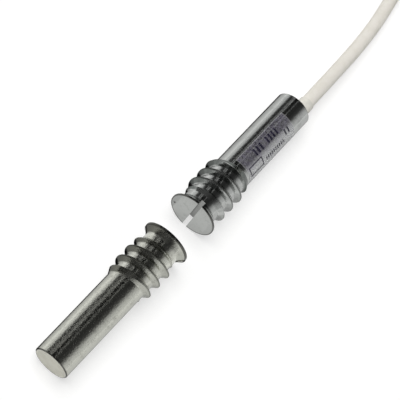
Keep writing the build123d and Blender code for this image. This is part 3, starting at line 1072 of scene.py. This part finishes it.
class Finish(Enum):
    """The finishes of the CAD nodes and the cable."""

    SWITCH_PLATE = PlatedMetal(
        name="switch_plate",
        pose=SWITCH_POSE,
        plate=(186, 188, 186),
        # Next: the stain colour, also used for painted shade on the flange face, then the colour of the
        # painted shade on the thread and where across the barrel it fades in.
        stain_and_shade=(140, 142, 139),
        thread_shade=(88, 93, 90),
        shaded_across=(2.0, 4.2),
        roughness=0.08,
        peel=0.4,
        pits=0.3,
        nick=(0.0, 4.86, -1.2),
        scuffed=(0.0, 0.45, 0.89),
        scuff=0.3,
        # Painted shade over the thread's run-out.
        run_out=0.95,
    )
    MAGNET_PLATE = PlatedMetal(
        name="magnet_plate",
        pose=MAGNET_POSE,
        plate=(203, 204, 195),
        # Next: the stain colour, also used for painted shade on the flange face, then the colour of the
        # painted shade on the thread and where across the barrel it fades in.
        stain_and_shade=(134, 134, 126),
        thread_shade=(84, 84, 76),
        shaded_across=(-0.5, 3.0),
        roughness=0.08,
        peel=1.0,
        pits=0.8,
        nick=(24.0, 2.5, 3.7),
        scuffed=(0.0, 0.4, -0.917),
        scuff=1.0,
        run_out=0.0,
    )
    JACKET = Moulded("cable_jacket", (232, 228, 220), (226, 222, 212), 0.48, 3.0, 0.012)
    BUSH = Moulded("bush_plastic", (226, 223, 214), (214, 212, 204), 0.5, 3.0, 0.012)
    RESIN = Moulded("cast_resin", (214, 209, 190), (200, 194, 172), 0.3, 1.5, 0.01, 0.3)
    DISC = Moulded("end_disc_plastic", (246, 245, 232), (236, 234, 220), 0.6, 3.5, 0.02)
    SLEEVE = Moulded("silicone_sleeve", (224, 224, 218), (212, 212, 206), 0.7, 3.0, 0.01)
    TIE = Moulded("tie_band", (224, 224, 216), (212, 212, 204), 0.42, 2.0, 0.01)
    CORE_WHITE = Moulded("core_white_skin", (232, 232, 228), (222, 222, 216), 0.45, 6.0, 0.006)
    CORE_BROWN = Moulded("core_brown_skin", (104, 62, 38), (90, 52, 30), 0.45, 6.0, 0.006)
    CORE_GREEN = Moulded("core_green_skin", (32, 128, 66), (26, 112, 56), 0.45, 6.0, 0.006)
    CORE_YELLOW = Moulded("core_yellow_skin", (232, 200, 52), (222, 188, 42), 0.45, 6.0, 0.006)
    COPPER = BareMetal("copper_strand", (214, 142, 108), (186, 116, 84), 0.28, 5.0)
    REED = BareMetal("reed_plate", (196, 194, 190), (176, 174, 170), 0.3, 4.0)
    SOLDER = BareMetal("solder_skin", (196, 198, 200), (164, 166, 170), 0.22, 3.0)
    MAGNET = BareMetal("magnet_alloy", (150, 150, 152), (122, 122, 124), 0.35, 2.0)
    GLASS = ClearGlass("capsule_glass", (214, 236, 222), (236, 246, 238))
    LABEL = LabelFilm()


CAD_FINISHES: dict[str, Finish] = {
    "switch_housing": Finish.SWITCH_PLATE,
    "magnet_housing": Finish.MAGNET_PLATE,
    "label_film": Finish.LABEL,
    "cable_bush": Finish.BUSH,
    "magnet_end_disc": Finish.DISC,
    "switch_potting": Finish.RESIN,
    "magnet_potting": Finish.RESIN,
    "magnet": Finish.MAGNET,
    "reed_glass": Finish.GLASS,
    "reed_sleeve": Finish.SLEEVE,
    "reed_blade_front": Finish.REED,
    "reed_blade_rear": Finish.REED,
    "solder_front": Finish.SOLDER,
    "solder_rear": Finish.SOLDER,
    "solder_tamper": Finish.SOLDER,
    "hank_tie": Finish.TIE,
}
CORE_FINISHES: dict[str, Finish] = {
    "white": Finish.CORE_WHITE,
    "brown": Finish.CORE_BROWN,
    "green": Finish.CORE_GREEN,
    "yellow": Finish.CORE_YELLOW,
}


@dataclass
class Dressing:
    """Gives the CAD nodes their finishes, each made once."""

    made: dict[Finish, bpy.types.Material] = field(default_factory=dict)

    def material(self, finish: Finish) -> bpy.types.Material:
        """Finds the material of a finish, and builds it on first use.

        Args:
            finish: the finish.

        Returns:
            The material.
        """
        if finish not in self.made:
            self.made[finish] = finish.value.material()
        return self.made[finish]

    def dress(self) -> int:
        """Assigns a material to every CAD node.

        Returns:
            How many nodes were dressed.
        """
        finishes = dict(CAD_FINISHES)
        for colour, finish in CORE_FINISHES.items():
            finishes[f"core_{colour}"] = finish
            finishes[f"tail_core_{colour}"] = finish
            finishes[f"conductor_{colour}"] = Finish.COPPER
            finishes[f"tail_tip_{colour}"] = Finish.COPPER
        for name in ("cable_run", "cable_hank", "cable_tail"):
            finishes[name] = Finish.JACKET
        for name, finish in finishes.items():
            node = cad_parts[name]
            for slot in node.material_slots:
                slot.material = self.material(finish)
            LOG.info("%s: %s", name, finish.name.lower())
        return len(finishes)


# What the metal mirrors above the floor: the angle in degrees from +Y over the top, and the level
# there. Ahead is towards the cable, and behind is towards the camera's side
ROOM_AHEAD = (
    (-90, 0.85), (5, 0.85), (15, 0.7), (20, 0.4), (24, 0.1), (30, 0.035), (42, 0.035), (44, 0.35),
    (47, 0.35), (49, 0.03), (52, 0.03), (54, 0.5), (57, 0.5), (58, 0.03), (64, 0.01), (76, 0.01),
    (80, 0.02), (81, 0.35), (83, 0.35), (84, 0.03), (96, 0.035), (106, 0.03), (116, 0.045), (127, 0.06),
    (134, 0.18), (144, 0.42), (154, 0.6), (165, 0.7), (180, 0.75),
)
ROOM_BEHIND = (
    (-90, 0.1), (0, 0.08), (20, 0.1), (55, 0.1), (75, 0.08), (90, 0.07), (105, 0.03), (125, 0.04),
    (140, 0.13), (155, 0.42), (170, 0.6), (268, 0.6),
)


@dataclass
class Studio:
    """Floor, cards, light and the camera at the photograph's view.

    Fields: lengths in metres and angles in degrees. The camera looks at a point above the origin
    from its distance and elevation, is rolled, and stands aside by its pan. The floor has a colour
    that is seen and one that lights the object. A card is black from card_near to card_solid and
    then fades out, and clears by card_gap_clear in the gap between the halves.
    """

    distance: float = 0.47434
    elevation: float = 63.845
    roll: float = 43.574
    pan: Pair = (0.005006, 0.006745)
    target_height: float = 0.005
    field_of_view: float = 10.797
    floor_size: float = 6.0
    floor_glow: float = 0.58
    floor_seen: Colour = (182, 182, 181)
    floor_lighting: Colour = (232, 232, 230)
    card_colour: Colour = (20, 20, 20)
    card_length: float = 0.3
    card_near: float = 0.0045
    card_solid: float = 0.0086
    card_fade: float = 0.21
    card_gap: float = 0.0044
    card_gap_soft: float = 0.001
    card_gap_clear: float = 0.8
    key_place: Place = (0.05, 0.35, 1.2)
    key_size: float = 1.0
    key_energy: float = 16.0

    def camera(self) -> bpy.types.Object:
        """Sets the camera at the photograph's view.

        Returns:
            The camera.
        """
        rise = math.radians(self.elevation)
        back = Vector((-math.cos(rise), 0.0, math.sin(rise)))
        right = Vector((0, 0, 1)).cross(back).normalized()
        up = back.cross(right)
        turn = math.radians(self.roll)
        rolled_right = right * math.cos(turn) + up * math.sin(turn)
        rolled_up = up * math.cos(turn) - right * math.sin(turn)
        data = bpy.data.cameras.new("photo_camera")
        data.sensor_fit = "HORIZONTAL"
        data.angle = math.radians(self.field_of_view)
        data.clip_start = 0.01
        data.clip_end = 20.0
        camera = bpy.data.objects.new("photo_camera", data)
        bpy.context.scene.collection.objects.link(camera)
        place = back * self.distance + rolled_right * self.pan[0] + rolled_up * self.pan[1]
        place.z += self.target_height
        turned = Matrix((rolled_right, rolled_up, back)).transposed().to_4x4()
        camera.matrix_world = Matrix.Translation(place) @ turned
        bpy.context.scene.camera = camera
        return camera

    def sheet(self, name: str, size: Pair, place: Place) -> bpy.types.Object:
        """Makes a flat sheet.

        Args:
            name: the sheet's name.
            size: its length and width.
            place: its middle.

        Returns:
            The sheet.
        """
        mesh = bpy.data.meshes.new(name)
        shape = bmesh.new()
        bmesh.ops.create_grid(shape, x_segments=1, y_segments=1, size=0.5)
        bmesh.ops.scale(shape, verts=shape.verts, vec=(*size, 1.0))
        bmesh.ops.translate(shape, verts=shape.verts, vec=place)
        shape.to_mesh(mesh)
        shape.free()
        sheet = bpy.data.objects.new(name, mesh)
        bpy.context.scene.collection.objects.link(sheet)
        return sheet

    def floor(self) -> bpy.types.Object:
        """Lays the pale floor.

        Returns:
            The floor.
        """
        floor = self.sheet("floor", (self.floor_size, self.floor_size), (0, 0, -SHEET_GAP))
        graph = Graph.for_material("floor_paper")
        path = graph.node("ShaderNodeLightPath").outputs
        seen = graph.greatest(path["Is Camera Ray"], path["Is Glossy Ray"], path["Is Transmission Ray"])
        paper = graph.node("ShaderNodeBsdfDiffuse", {
            "Color": graph.blend(seen, linear(self.floor_lighting), linear(self.floor_seen)),
        })
        glow = graph.node("ShaderNodeEmission", {"Strength": graph.product(seen, self.floor_glow)})
        both = graph.node("ShaderNodeAddShader", {0: paper.outputs[0], 1: glow.outputs[0]})
        graph.node("ShaderNodeOutputMaterial", {"Surface": both.outputs[0]})
        floor.data.materials.append(graph.owner)
        return floor

    def card(self, name: str, side: int, cover: float, far: float) -> bpy.types.Object:
        """Lays a black card beside the object, which only its metal sees.

        Args:
            name: the card's name.
            side: 1 for the +Y side, -1 for the other.
            cover: how much of the floor it hides close to the object.
            far: where it has faded out, in metres from the object's middle line.

        Returns:
            The card.
        """
        middle = side * (far + self.card_near) / 2
        card = self.sheet(name, (self.card_length, far - self.card_near), (0, middle, SHEET_GAP))
        graph = Graph.for_material(f"{name}_paper")
        place = graph.node("ShaderNodeTexCoord").outputs["Object"]
        along, across, _ = graph.node("ShaderNodeSeparateXYZ", {0: place}).outputs
        past = graph.math("MULTIPLY_ADD", across, side, -self.card_solid)
        share = graph.math("MAXIMUM", graph.math("DIVIDE", past, far - self.card_solid), 0.0)
        faded = graph.math("POWER", share, self.card_fade)
        gap = graph.band(along, -self.card_gap, self.card_gap, self.card_gap_soft)
        shown = graph.product(graph.math("SUBTRACT", 1.0, faded), cover)
        shown = graph.product(shown, graph.math("MULTIPLY_ADD", gap, -self.card_gap_clear, 1.0))
        black = graph.node("ShaderNodeBsdfDiffuse", {"Color": linear(self.card_colour)})
        clear = graph.node("ShaderNodeBsdfTransparent")
        mixed = graph.node("ShaderNodeMixShader", {0: shown, 1: clear.outputs[0], 2: black.outputs[0]})
        graph.node("ShaderNodeOutputMaterial", {"Surface": mixed.outputs[0]})
        card.data.materials.append(graph.owner)
        card.visible_camera = False
        card.visible_diffuse = False
        card.visible_shadow = False
        card.visible_transmission = False
        return card

    def key(self) -> bpy.types.Object:
        """Hangs the soft key light, turned towards the object.

        Returns:
            The light.
        """
        data = bpy.data.lights.new("key", "AREA")
        data.shape = "RECTANGLE"
        data.size = data.size_y = self.key_size
        data.energy = self.key_energy
        light = bpy.data.objects.new("key", data)
        light.location = self.key_place
        light.rotation_euler = Vector(self.key_place).to_track_quat("Z", "Y").to_euler()
        light.visible_glossy = False
        bpy.context.scene.collection.objects.link(light)
        return light

    def room(self) -> bpy.types.World:
        """Sets the room that the metal mirrors.

        Returns:
            The room.
        """
        world = bpy.data.worlds.new("room")
        bpy.context.scene.world = world
        graph = Graph(world)
        way = graph.node("ShaderNodeTexCoord").outputs["Generated"]
        along, across, height = graph.node("ShaderNodeSeparateXYZ", {0: way}).outputs
        angle = graph.math("ARCTAN2", height, across)
        angle = graph.math("WRAP", angle, 1.5 * math.pi, -0.5 * math.pi)
        share = graph.math("MULTIPLY_ADD", angle, 0.5 / math.pi, 0.25)
        behind, ahead = (
            graph.steps(share, tuple(((degrees + 90) / 360, level) for degrees, level in levels))
            for levels in (ROOM_BEHIND, ROOM_AHEAD)
        )
        level = graph.blend(graph.ease(along, -0.35, 0.15), behind, ahead)
        glow = graph.node("ShaderNodeBackground", {"Color": level})
        graph.node("ShaderNodeOutputWorld", {"Surface": glow.outputs[0]})
        return world


def main() -> None:
    """Sets the studio, dresses the frame and lays the cable."""
    logging.basicConfig(level=logging.INFO, format="%(name)s: %(message)s")
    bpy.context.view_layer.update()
    scene = bpy.context.scene
    scene.view_settings.view_transform = "Standard"
    studio = Studio()
    studio.camera()
    studio.floor()
    studio.card("card_upper", side=1, cover=1.0, far=0.05)
    studio.card("card_lower", side=-1, cover=0.45, far=0.4)
    studio.key()
    studio.room()
    LOG.info("studio set")
    dressing = Dressing()
    LOG.info("%d nodes dressed", dressing.dress())
    cable = Cable()
    strand = cable.build(dressing.material(Finish.JACKET))
    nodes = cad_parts
    with_pieces = [nodes["hank_tie"], nodes["cable_bush"]]
    for colour in CORE_FINISHES:
        with_pieces += [nodes[f"tail_core_{colour}"], nodes[f"tail_tip_{colour}"]]
    LOG.info("cable laid")


if __name__ == "__main__":
    main()
